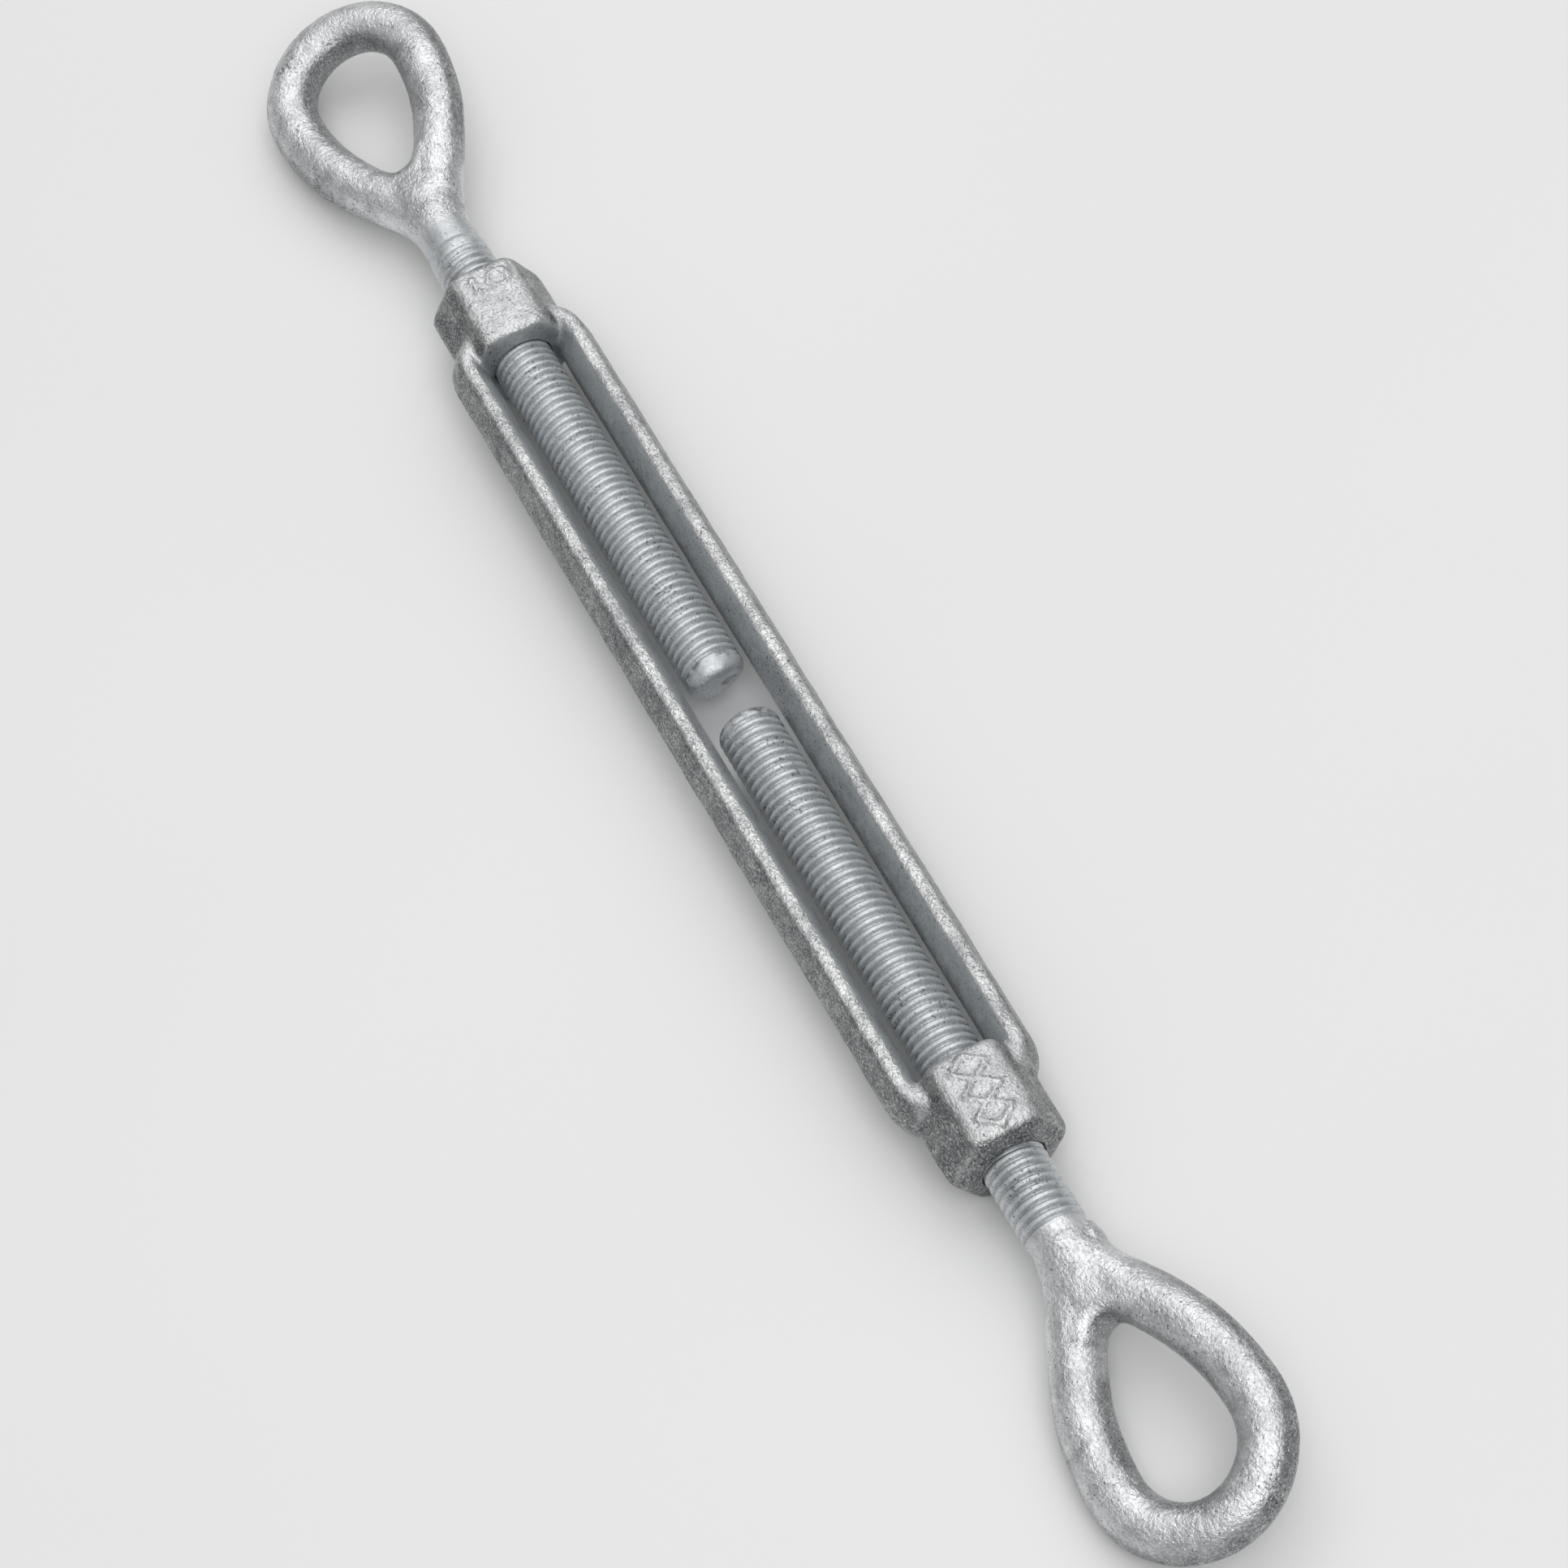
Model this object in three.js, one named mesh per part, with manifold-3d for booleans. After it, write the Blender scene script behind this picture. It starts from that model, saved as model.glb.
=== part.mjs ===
// Eye-and-eye rigging turnbuckle with a 5/8 in - 11 thread and a 9 in take-up.
// Millimetres. +X runs along the pull axis, +Z is up from the surface the
// turnbuckle lies on, and the origin is on the pull axis at mid-length.
//
// Three forged pieces: the barrel, an eye bolt with a right-hand thread at the
// -X end and an eye bolt with a left-hand thread at the +X end. The threads are
// plain cylinders at their crest diameter here.

import * as THREE from 'three';
import { mergeVertices } from 'three/addons/utils/BufferGeometryUtils.js';
import Module from 'manifold-3d';

const wasm = await Module();
wasm.setup();

// ---------------------------------------------------------------- thread

const THREAD_PITCH = 25.4 / 11;
const THREAD_CREST_RADIUS = 7.53;
const BORE_CLEARANCE = 0.32;        // radial, between thread crest and boss bore
const ROUND_SIDES = 40;             // facets round the shank and the bore

// ---------------------------------------------------------------- barrel

const BARREL_HALF_LENGTH = 137.4;
const SLOT_HALF_LENGTH = 113;
const BARREL_ROLL = -3.9;           // degrees about X: how the barrel leans when it lies down

const BOSS_HALF_WIDTH = 14.95;      // to the unrounded corner at the parting line
const BOSS_HALF_HEIGHT = 12.7;      // to the wrench flat
const BOSS_FLAT_HALF_WIDTH = 7.7;   // of the wrench flat
const BOSS_CORNER_REACH = 2.4;      // how far each corner's rounding runs along its sides
const BOSS_END_ROUND_LENGTH = 3.6;
const BOSS_END_ROUND_DEPTH = 3.6;
const BOSS_END_SEGMENTS = 4;

const REIN_CENTRE_OFFSET = 13.42;   // from the pull axis to the middle of a side bar
const REIN_HALF_WIDTH = 4.61;
const REIN_HALF_HEIGHT = 7.85;
const REIN_EDGE_ROUND_WIDTH = 3.2;
const REIN_EDGE_ROUND_HEIGHT = 6.2;
const REIN_EDGE_SEGMENTS = 3;
const REIN_BEND_RADIUS = 7.4;       // of the bar's centreline, where it turns in to the boss
const REIN_BEND_START = 112.6;      // distance from mid-length
const SLOT_CORNER_RADIUS = 3.5;

// -------------------------------------------------------------- eye bolts

// Each shank's tip, taper and thread end, as distances from mid-length.
const RIGHT_HAND_SHANK = { tip: 5.4, taperEnd: 9.2, faceRadius: 4.8, threadEnd: 151 };
const LEFT_HAND_SHANK = { tip: 7.7, taperEnd: 9.8, faceRadius: 5.7, threadEnd: 158 };
const THREAD_RUN_OUT = 0.65 * THREAD_PITCH;
const NECK_START = 167.3;           // from mid-length to where the eye begins
const NECK_RADIUS = 7.05;
const NECK_TAPER_START = 5.4;       // inside the eye, where the hidden end of the neck narrows
const NECK_RUN = 9;                 // how far the neck runs on into the eye
const NECK_END_RADIUS = 5.5;
const FLARE_START = -7;             // the neck widens to the eye between these two
const FLARE_END = 3;
const FLARE_START_RADIUS = 7.2;     // in the plane of the eye
const FLARE_END_RADIUS = 9.5;
const FLARE_FLATTENING = 0.78;      // thickness over width

const EYE_LENGTH = 45.6;            // from the neck to the centre of the round end
const EYE_HALF_WIDTH = 18.2;        // centreline
const EYE_END_STRETCH = 1.037;      // the round end is very slightly longer than a half circle
const EYE_ROD_RADIUS = 6.55;        // in the plane of the eye
const EYE_ROD_HALF_THICKNESS = 6.1; // across it
const EYE_LEG_OFFSET = 2.8;         // of each leg's centreline, at the neck
const EYE_LEG_NECK_PULL = new THREE.Vector2(8.7, 1.1);
const EYE_LEG_END_PULL = 24.9;
const EYE_STEPS = 46;
const EYE_SIDES = 11;               // per half of the rod's section

const RIGHT_HAND_EYE_ROLL = 19.7 + BARREL_ROLL;  // degrees about X from flat
const LEFT_HAND_EYE_ROLL = 25.8 + BARREL_ROLL;

// ------------------------------------------------------------- materials

function galvanised(color, roughness) {
  return new THREE.MeshStandardMaterial({ color, roughness, metalness: 0.9 });
}

// --------------------------------------------------------------- solids

function toSolid(geometry) {
  const bare = geometry.clone();
  bare.deleteAttribute('normal');
  bare.deleteAttribute('uv');
  const merged = mergeVertices(bare, 1e-4);
  return new wasm.Manifold(new wasm.Mesh({
    numProp: 3,
    vertProperties: Float32Array.from(merged.attributes.position.array),
    triVerts: Uint32Array.from(merged.index.array),
  }));
}

function toGeometry(solid) {
  const mesh = solid.getMesh();
  const geometry = new THREE.BufferGeometry();
  geometry.setAttribute('position', new THREE.BufferAttribute(mesh.vertProperties, 3));
  geometry.setIndex(new THREE.BufferAttribute(mesh.triVerts, 1));
  return geometry;
}

function pieceMesh(name, solid, material) {
  const mesh = new THREE.Mesh(toGeometry(solid), material);
  mesh.name = name;
  return mesh;
}

// A lathe profile is a list of [distance along X, radius].
function turned(profile) {
  const points = profile.map(([x, radius]) => new THREE.Vector2(radius, x));
  const geometry = new THREE.LatheGeometry(points, ROUND_SIDES);
  geometry.rotateZ(-Math.PI / 2);
  return geometry;
}

// ---------------------------------------------------------------- barrel

// A polygon with every corner rounded by a curve that starts and ends `reach`
// away from the corner.
function roundedPolygon(corners, reach) {
  const shape = new THREE.Shape();
  corners.forEach((corner, i) => {
    const before = corners[(i + corners.length - 1) % corners.length];
    const after = corners[(i + 1) % corners.length];
    const start = corner.clone().add(before.clone().sub(corner).setLength(reach));
    const end = corner.clone().add(after.clone().sub(corner).setLength(reach));
    if (i === 0) shape.moveTo(start.x, start.y);
    else shape.lineTo(start.x, start.y);
    shape.quadraticCurveTo(corner.x, corner.y, end.x, end.y);
  });
  shape.closePath();
  return shape;
}

// Six-sided boss section: two wrench flats and four slanted faces that meet
// at the parting line.
function bossSection(inset) {
  const slant = Math.atan2(BOSS_HALF_WIDTH - BOSS_FLAT_HALF_WIDTH, BOSS_HALF_HEIGHT);
  const width = BOSS_HALF_WIDTH - inset / Math.cos(slant);
  const height = BOSS_HALF_HEIGHT - inset;
  const flat = BOSS_FLAT_HALF_WIDTH - inset * Math.tan((Math.PI / 2 - slant) / 2);
  const corners = [
    new THREE.Vector2(width, 0),
    new THREE.Vector2(flat, height),
    new THREE.Vector2(-flat, height),
    new THREE.Vector2(-width, 0),
    new THREE.Vector2(-flat, -height),
    new THREE.Vector2(flat, -height),
  ];
  return roundedPolygon(corners, BOSS_CORNER_REACH);
}

// One boss, its rounded outer end at +X. It is made longer than it needs to be
// and the slot's end face trims it.
function bossSolid() {
  const section = bossSection(BOSS_END_ROUND_DEPTH);
  const boss = new THREE.ExtrudeGeometry(section, {
    depth: BARREL_HALF_LENGTH - SLOT_HALF_LENGTH,
    curveSegments: 3,
    bevelEnabled: true,
    bevelThickness: BOSS_END_ROUND_LENGTH,
    bevelSize: BOSS_END_ROUND_DEPTH,
    bevelSegments: BOSS_END_SEGMENTS,
  });
  // The section's x becomes Y, its y becomes Z and the extrusion runs along X.
  boss.applyMatrix4(new THREE.Matrix4().makeBasis(
    new THREE.Vector3(0, 1, 0),
    new THREE.Vector3(0, 0, 1),
    new THREE.Vector3(1, 0, 0),
  ));
  boss.translate(SLOT_HALF_LENGTH - BOSS_END_ROUND_LENGTH, 0, 0);
  const slotSpace = new THREE.BoxGeometry(
    2 * SLOT_HALF_LENGTH,
    4 * BOSS_HALF_WIDTH,
    4 * BOSS_HALF_HEIGHT,
  );
  return toSolid(boss).subtract(toSolid(slotSpace));
}

// The two side bars and their turned-in ends, as one frame with a long slot.
function frameSolid() {
  const outerY = REIN_CENTRE_OFFSET + REIN_HALF_WIDTH - REIN_EDGE_ROUND_WIDTH;
  const bend = REIN_BEND_RADIUS + REIN_HALF_WIDTH - REIN_EDGE_ROUND_WIDTH;
  const outline = new THREE.Shape();
  outline.moveTo(-REIN_BEND_START, -outerY);
  outline.lineTo(REIN_BEND_START, -outerY);
  outline.absarc(REIN_BEND_START, -outerY + bend, bend, -Math.PI / 2, 0, false);
  outline.lineTo(REIN_BEND_START + bend, outerY - bend);
  outline.absarc(REIN_BEND_START, outerY - bend, bend, 0, Math.PI / 2, false);
  outline.lineTo(-REIN_BEND_START, outerY);
  outline.absarc(-REIN_BEND_START, outerY - bend, bend, Math.PI / 2, Math.PI, false);
  outline.lineTo(-REIN_BEND_START - bend, -outerY + bend);
  outline.absarc(-REIN_BEND_START, -outerY + bend, bend, Math.PI, Math.PI * 1.5, false);

  const slotX = SLOT_HALF_LENGTH + REIN_EDGE_ROUND_WIDTH;
  const slotY = REIN_CENTRE_OFFSET - REIN_HALF_WIDTH + REIN_EDGE_ROUND_WIDTH;
  const corner = SLOT_CORNER_RADIUS + REIN_EDGE_ROUND_WIDTH;
  const slot = new THREE.Path();
  slot.moveTo(-slotX + corner, -slotY);
  slot.absarc(-slotX + corner, -slotY + corner, corner, -Math.PI / 2, -Math.PI, true);
  slot.absarc(-slotX + corner, slotY - corner, corner, Math.PI, Math.PI / 2, true);
  slot.absarc(slotX - corner, slotY - corner, corner, Math.PI / 2, 0, true);
  slot.absarc(slotX - corner, -slotY + corner, corner, 0, -Math.PI / 2, true);
  outline.holes.push(slot);

  const depth = 2 * (REIN_HALF_HEIGHT - REIN_EDGE_ROUND_HEIGHT);
  const frame = new THREE.ExtrudeGeometry(outline, {
    depth,
    curveSegments: 6,
    bevelEnabled: true,
    bevelThickness: REIN_EDGE_ROUND_HEIGHT,
    bevelSize: REIN_EDGE_ROUND_WIDTH,
    bevelSegments: REIN_EDGE_SEGMENTS,
  });
  frame.translate(0, 0, -depth / 2);
  return toSolid(frame);
}

function boreSolid() {
  const reach = BARREL_HALF_LENGTH + BOSS_END_ROUND_LENGTH;
  const radius = THREAD_CREST_RADIUS + BORE_CLEARANCE;
  return toSolid(turned([[-reach, 0], [-reach, radius], [reach, radius], [reach, 0]]));
}

function barrelSolid() {
  const boss = bossSolid();
  const farBoss = boss.rotate([0, 0, 180]);
  return frameSolid().add(boss).add(farBoss).subtract(boreSolid());
}

// ------------------------------------------------------------- eye bolts

// The eye's centreline, from one side of the neck round to the other.
function eyeCurve() {
  const legStart = new THREE.Vector3(0, EYE_LEG_OFFSET, 0);
  const legEnd = new THREE.Vector3(EYE_LENGTH, EYE_HALF_WIDTH, 0);
  const neckPull = new THREE.Vector3(EYE_LEG_NECK_PULL.x, EYE_LEG_NECK_PULL.y, 0);
  const endPull = new THREE.Vector3(EYE_LEG_END_PULL, 0, 0);
  const mirror = new THREE.Vector3(1, -1, 1);
  const leg = [legStart, legStart.clone().add(neckPull), legEnd.clone().sub(endPull), legEnd];
  const otherLeg = leg.map((p) => p.clone().multiply(mirror)).reverse();

  class RoundEnd extends THREE.Curve {
    getPoint(t, target = new THREE.Vector3()) {
      const angle = Math.PI * (0.5 - t);
      return target.set(
        EYE_LENGTH + EYE_END_STRETCH * EYE_HALF_WIDTH * Math.cos(angle),
        EYE_HALF_WIDTH * Math.sin(angle),
        0,
      );
    }
  }

  const path = new THREE.CurvePath();
  path.add(new THREE.CubicBezierCurve3(...leg));
  path.add(new RoundEnd());
  path.add(new THREE.CubicBezierCurve3(...otherLeg));
  return path;
}

function eyeSolid() {
  const section = new THREE.Shape();
  section.absellipse(0, 0, EYE_ROD_HALF_THICKNESS, EYE_ROD_RADIUS, 0, 2 * Math.PI, false, 0);
  return toSolid(new THREE.ExtrudeGeometry(section, {
    steps: EYE_STEPS,
    curveSegments: EYE_SIDES,
    extrudePath: eyeCurve(),
  }));
}

// The widening of the neck into the eye, an oval cone.
function flareSolid() {
  const flare = new THREE.CylinderGeometry(
    FLARE_END_RADIUS,
    FLARE_START_RADIUS,
    FLARE_END - FLARE_START,
    ROUND_SIDES,
  );
  flare.scale(1, 1, FLARE_FLATTENING);
  flare.rotateZ(-Math.PI / 2);
  flare.translate((FLARE_START + FLARE_END) / 2, 0, 0);
  return toSolid(flare);
}

// The bolt lies along X with its neck at x = 0, the eye towards +X and the
// thread towards -X.
function eyeBoltSolid(shank) {
  const turnedShank = turned([
    [shank.tip - NECK_START, 0],
    [shank.tip - NECK_START, shank.faceRadius],
    [shank.taperEnd - NECK_START, THREAD_CREST_RADIUS],
    [shank.threadEnd - NECK_START, THREAD_CREST_RADIUS],
    [shank.threadEnd - NECK_START + THREAD_RUN_OUT, NECK_RADIUS],
    [NECK_TAPER_START, NECK_RADIUS],
    [NECK_RUN, NECK_END_RADIUS],
    [NECK_RUN, 0],
  ]);
  return toSolid(turnedShank).add(flareSolid()).add(eyeSolid());
}

// An eye bolt turned about the pull axis by `roll` degrees and set at one end.
function placedEyeBolt(name, material, shank, roll, end) {
  const mesh = pieceMesh(name, eyeBoltSolid(shank), material);
  const turn = new THREE.Group();
  turn.rotation.z = end > 0 ? 0 : Math.PI;
  turn.position.x = end * NECK_START;
  mesh.rotation.x = THREE.MathUtils.degToRad(end * roll);
  turn.add(mesh);
  return turn;
}

// -------------------------------------------------------------- assembly

const turnbuckle = new THREE.Group();

const barrel = pieceMesh('barrel', barrelSolid(), galvanised(0xa9adb0, 0.45));
barrel.rotation.x = THREE.MathUtils.degToRad(BARREL_ROLL);
turnbuckle.add(barrel);

turnbuckle.add(placedEyeBolt(
  'right_hand_eye_bolt',
  galvanised(0xb4b8bb, 0.4),
  RIGHT_HAND_SHANK,
  RIGHT_HAND_EYE_ROLL,
  -1,
));
turnbuckle.add(placedEyeBolt(
  'left_hand_eye_bolt',
  galvanised(0xb4b8bb, 0.4),
  LEFT_HAND_SHANK,
  LEFT_HAND_EYE_ROLL,
  1,
));

export default turnbuckle;
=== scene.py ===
import math

import bmesh
import bpy
import numpy as np
from mathutils import Matrix, Vector


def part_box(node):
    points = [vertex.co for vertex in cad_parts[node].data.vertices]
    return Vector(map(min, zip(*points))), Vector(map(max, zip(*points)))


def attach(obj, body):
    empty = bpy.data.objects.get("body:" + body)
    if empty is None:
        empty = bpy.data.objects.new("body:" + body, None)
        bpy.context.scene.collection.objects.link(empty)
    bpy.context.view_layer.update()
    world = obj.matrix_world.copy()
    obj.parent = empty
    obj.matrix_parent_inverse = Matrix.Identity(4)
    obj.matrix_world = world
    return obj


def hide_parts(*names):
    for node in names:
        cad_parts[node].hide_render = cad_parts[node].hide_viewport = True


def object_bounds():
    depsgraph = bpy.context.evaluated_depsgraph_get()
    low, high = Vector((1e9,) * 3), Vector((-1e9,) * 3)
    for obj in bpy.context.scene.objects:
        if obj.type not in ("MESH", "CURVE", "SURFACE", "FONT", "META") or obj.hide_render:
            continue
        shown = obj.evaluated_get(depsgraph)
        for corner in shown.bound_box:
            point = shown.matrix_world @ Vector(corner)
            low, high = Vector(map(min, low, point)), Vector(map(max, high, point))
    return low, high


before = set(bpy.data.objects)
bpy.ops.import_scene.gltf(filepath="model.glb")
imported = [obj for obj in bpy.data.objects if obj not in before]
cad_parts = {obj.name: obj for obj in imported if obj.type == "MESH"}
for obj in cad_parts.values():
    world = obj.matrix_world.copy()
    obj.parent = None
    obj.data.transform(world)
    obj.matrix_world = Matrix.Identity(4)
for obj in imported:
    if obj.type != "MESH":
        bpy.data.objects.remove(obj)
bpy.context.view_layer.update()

# Eye-and-eye rigging turnbuckle, hot-dip galvanised. Meshes are made in
# millimetres, in each piece's own frame, and set in the row frame in metres.

MM = 0.001

# ---------------------------------------------------------------- sizes, mm

BARREL_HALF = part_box("barrel")[1].x / MM
BARREL_ROLL = math.radians(-3.9)
SLOT_HALF = 113.0

THREAD_PITCH = 25.4 / 11
CREST_RADIUS = 7.5
THREAD_DEPTH = 0.95
BORE_RADIUS = 7.85

# The boss is six-sided: wrench flats above and below, and four slanted faces
# that meet at the parting line.
BOSS_HALF_WIDTH = 14.95
BOSS_HALF_HEIGHT = 12.7
BOSS_FLAT_HALF_WIDTH = 7.7
BOSS_CORNER_REACH = 2.4
BOSS_END_START = BARREL_HALF - 3.4
BOSS_END_DEPTH = 3.6
BOSS_CONE_DEPTH = 6.6
BOSS_CONE_RISE = 0.7
BOSS_SHOULDER = 1.8

# Side bar section: distances outwards from the bar's centreline, and heights.
REIN_OFFSET = 13.42
REIN_OUTER_CORNER = 4.95
REIN_INNER_CORNER = -5.0
REIN_TOP_CORNERS = (2.0, -1.4)
REIN_TOP_HEIGHT = 8.15
REIN_PARTING_REACH = 2.0
REIN_TOP_REACH = 1.65
REIN_BEND_RADIUS = 7.4
REIN_BEND_START = 112.6
REIN_BEND_SWEEP = math.radians(82)

NECK_START = 167.3
NECK_RADIUS = 7.05
EYE_LENGTH = 45.6
EYE_HALF_WIDTH = 18.2
EYE_END_STRETCH = 1.037
EYE_ROD_RADIUS = 6.55
EYE_ROD_HALF_THICKNESS = 6.1
EYE_LEG_OFFSET = 2.8
EYE_LEG_NECK_PULL = (8.7, 1.1)
EYE_LEG_END_PULL = 24.9
# Narrow end of the eye: a bent web between the legs, with a round inner wall.
THROAT_CENTRE = 17.9
THROAT_RADIUS = 3.6
THROAT_WEB_HALF_WIDTH = 4.2
THROAT_SWEEP = math.radians(74)

# Neck of an eye bolt: place along it, and how far it stands out of the neck's
# radius in the plane of the eye and square to it.
NECK_STATIONS = (
    (-20.0, 0.0, 0.0),
    (-7.5, 0.0, 0.0),
    (-6.0, 0.35, 0.05),
    (-4.0, 0.95, 0.1),
    (-1.5, 1.5, 0.1),
    (2.0, 2.5, 0.0),
    (5.0, 3.2, -0.4),
    (9.0, 3.6, -0.9),
    (13.0, 1.8, -1.8),
)
# Lumps of flash beside one neck: centre and half sizes.
EAR_LUMPS = (
    ((-6.9, 6.9, 0.0), (1.7, 1.6, 2.4)),
    ((-3.4, 7.4, 0.0), (4.4, 1.5, 3.4)),
)
SHANK_JOIN = -10.0                  # where the shank meets the forging, from the neck
SHANK_JOIN_GAP = 0.35
END_FACE_DOME = 0.35
DIMPLE_HEIGHT, DIMPLE_SPREAD = -1.6, 0.8
NUB_HEIGHT, NUB_SPREAD = 1.5, 1.0
TORN_HEIGHT = 0.25
FLASH_HEIGHT = 0.12

# Plain raised marks on the upper wrench flats, placed along and across.
MARK_HEIGHT = 0.62
LOZENGE_CENTRES = (118.6, 124.8, 131.0)
LOZENGE_ACROSS = -0.4
LOZENGE_HALF_LONG = 3.3
LOZENGE_HALF_WIDE = 4.3
FAR_MARK_ALONG = -130.2
RING_ACROSS = 2.7
RING_RADIUS = 2.5
BAR_ACROSS = -3.3
BAR_HALF_LONG = 2.7
BAR_HALF_WIDE = 0.45
PARTING_HEIGHT = 0.09

BARREL_VOXEL = 0.52
EYE_VOXEL = 0.43

# One seed for each random surface.
BARREL_SEED = 3
FORGING_SEED = 11
SHANK_FINE_SEED = 19
SHANK_WAVE_SEED = 23
TORN_SEED = 29
DROSS_SEED = 31

# Each bolt: which end it is at, its thread's hand and its roll from flat. Then
# its tip, taper end, thread start and thread end as distances from mid-length,
# and how slowly the thread runs out. The cut tip leans, and has a dimple near
# its centre and a nub near its rim. `ear` is flash left beside the neck.
BOLTS = {
    "right_hand_eye_bolt": {
        "end": -1, "hand": 1, "roll": math.radians(19.7) + BARREL_ROLL,
        "tip": 5.5, "taper_end": 9.2, "face_radius": 4.6,
        "thread_start": 8.6, "thread_end": 151.5, "run_out": 9.0,
        "shear": math.tan(math.radians(13)), "dimple": (-1.6, -0.6), "nub": (4.6, -0.8),
        "ear": False,
    },
    "left_hand_eye_bolt": {
        "end": 1, "hand": -1, "roll": math.radians(25.8) + BARREL_ROLL,
        "tip": 7.7, "taper_end": 10.2, "face_radius": 5.7,
        "thread_start": 9.6, "thread_end": 158.0, "run_out": 2.2,
        "shear": 0.0, "dimple": None, "nub": None,
        "ear": True,
    },
}

# ------------------------------------------------------------ mesh helpers


def mesh_object(name, verts, faces):
    mesh = bpy.data.meshes.new(name)
    mesh.from_pydata([tuple(v) for v in verts], [], [tuple(f) for f in faces])
    mesh.update()
    obj = bpy.data.objects.new(name, mesh)
    bpy.context.scene.collection.objects.link(obj)
    return obj


def read_points(mesh):
    points = np.zeros(len(mesh.vertices) * 3)
    mesh.vertices.foreach_get("co", points)
    return points.reshape(-1, 3)


def write_points(mesh, points):
    mesh.vertices.foreach_set("co", np.asarray(points, np.float32).ravel())
    mesh.update()


def read_normals(mesh):
    normals = np.zeros(len(mesh.vertices) * 3, np.float32)
    mesh.vertices.foreach_get("normal", normals)
    return normals.reshape(-1, 3).astype(float)


def loft(rings):
    """Vertices and faces of a skin over rings of equally many points, capped."""
    count = len(rings[0])
    verts = np.concatenate(rings)
    faces = [tuple(range(count))]
    for i in range(len(rings) - 1):
        a, b = i * count, (i + 1) * count
        for j in range(count):
            k = (j + 1) % count
            faces.append((a + j, b + j, b + k, a + k))
    faces.append(tuple(reversed(range(len(verts) - count, len(verts)))))
    return verts, faces


def rounded_outline(corners, reaches, arc_steps=5):
    """A closed outline whose corners are rounded, each over its own reach."""
    points = []
    for i, (corner, reach) in enumerate(zip(corners, reaches)):
        here = Vector(corner)
        before = Vector(corners[i - 1]) - here
        after = Vector(corners[(i + 1) % len(corners)]) - here
        start = here + before.normalized() * reach
        end = here + after.normalized() * reach
        for step in range(arc_steps + 1):
            t = step / arc_steps
            points.append((1 - t) ** 2 * start + 2 * t * (1 - t) * here + t * t * end)
    return np.array([(p.x, p.y) for p in points])


def smooth_step(value, low, high):
    t = np.clip((value - low) / (high - low), 0.0, 1.0)
    return t * t * (3.0 - 2.0 * t)


def lattice_noise(points, size, seed):
    """Smooth random values from -1 to 1 with features about `size` across."""
    scaled = points / size + 1000.0
    cell = np.floor(scaled).astype(np.int64)
    local = scaled - cell
    local = local * local * (3.0 - 2.0 * local)
    total = np.zeros(len(points))
    for dx in (0, 1):
        for dy in (0, 1):
            for dz in (0, 1):
                key = (cell[:, 0] + dx) * 73856093
                key ^= (cell[:, 1] + dy) * 19349663
                key ^= (cell[:, 2] + dz) * 83492791
                key ^= seed * 2654435761
                key = (key ^ (key >> 13)) * 1274126177 & 0x7FFFFFFF
                key = (key ^ (key >> 16)) * 668265263 & 0x7FFFFFFF
                value = (key ^ (key >> 15)) % 65536 / 32767.5 - 1.0
                weight = np.where(dx, local[:, 0], 1 - local[:, 0])
                weight = weight * np.where(dy, local[:, 1], 1 - local[:, 1])
                weight = weight * np.where(dz, local[:, 2], 1 - local[:, 2])
                total += value * weight
    return total


def remeshed(name, parts, voxel):
    """One closed mesh over overlapping closed parts, in cells of `voxel`."""
    base = mesh_object(name, [], [])
    graph = bmesh.new()
    for verts, faces in parts:
        corners = [graph.verts.new(v) for v in verts]
        for face in faces:
            graph.faces.new([corners[i] for i in face])
    bmesh.ops.recalc_face_normals(graph, faces=graph.faces)
    graph.to_mesh(base.data)
    graph.free()
    modifier = base.modifiers.new("cells", "REMESH")
    modifier.mode = "VOXEL"
    modifier.voxel_size = voxel
    return applied(base)


def applied(obj):
    """The object with its modifiers made part of its mesh."""
    graph = bpy.context.evaluated_depsgraph_get()
    mesh = bpy.data.meshes.new_from_object(obj.evaluated_get(graph))
    old = obj.data
    obj.modifiers.clear()
    obj.data = mesh
    bpy.data.meshes.remove(old)
    mesh.name = obj.name
    return obj


def relax(mesh, points, rounds, shrink=0.5, swell=0.0, weight=None):
    """Moves points towards their neighbours' mean, and part way back."""
    edges = np.zeros(len(mesh.edges) * 2, np.int64)
    mesh.edges.foreach_get("vertices", edges)
    edges = edges.reshape(-1, 2)
    ends = np.concatenate([edges[:, 0], edges[:, 1]])
    others = np.concatenate([edges[:, 1], edges[:, 0]])
    count = np.bincount(ends, minlength=len(points))[:, None]
    share = 1.0 if weight is None else weight[:, None]
    for _ in range(rounds):
        for step in (shrink, -swell):
            if not step:
                continue
            near = points[others]
            mean = np.stack(
                [np.bincount(ends, near[:, k], len(points)) for k in range(3)], 1
            ) / np.maximum(count, 1)
            points = points + share * step * (mean - points)
    return points


def paint(mesh, name, values):
    """Stores one number for each point, which the materials read by name."""
    layer = mesh.attributes.new(name, "FLOAT", "POINT")
    layer.data.foreach_set("value", np.asarray(values, np.float32))


def place(obj, body, slot, material, turn):
    """Sets a piece made in millimetres in the row frame and on its body."""
    obj.data.transform(Matrix.Diagonal((MM, MM, MM, 1.0)) @ turn)
    obj.data.polygons.foreach_set("use_smooth", [True] * len(obj.data.polygons))
    obj.data.materials.clear()
    obj.data.materials.append(material)
    obj.data.update()
    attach(obj, body)
    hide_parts(body)
    return obj


# ------------------------------------------------------------------ barrel


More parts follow.
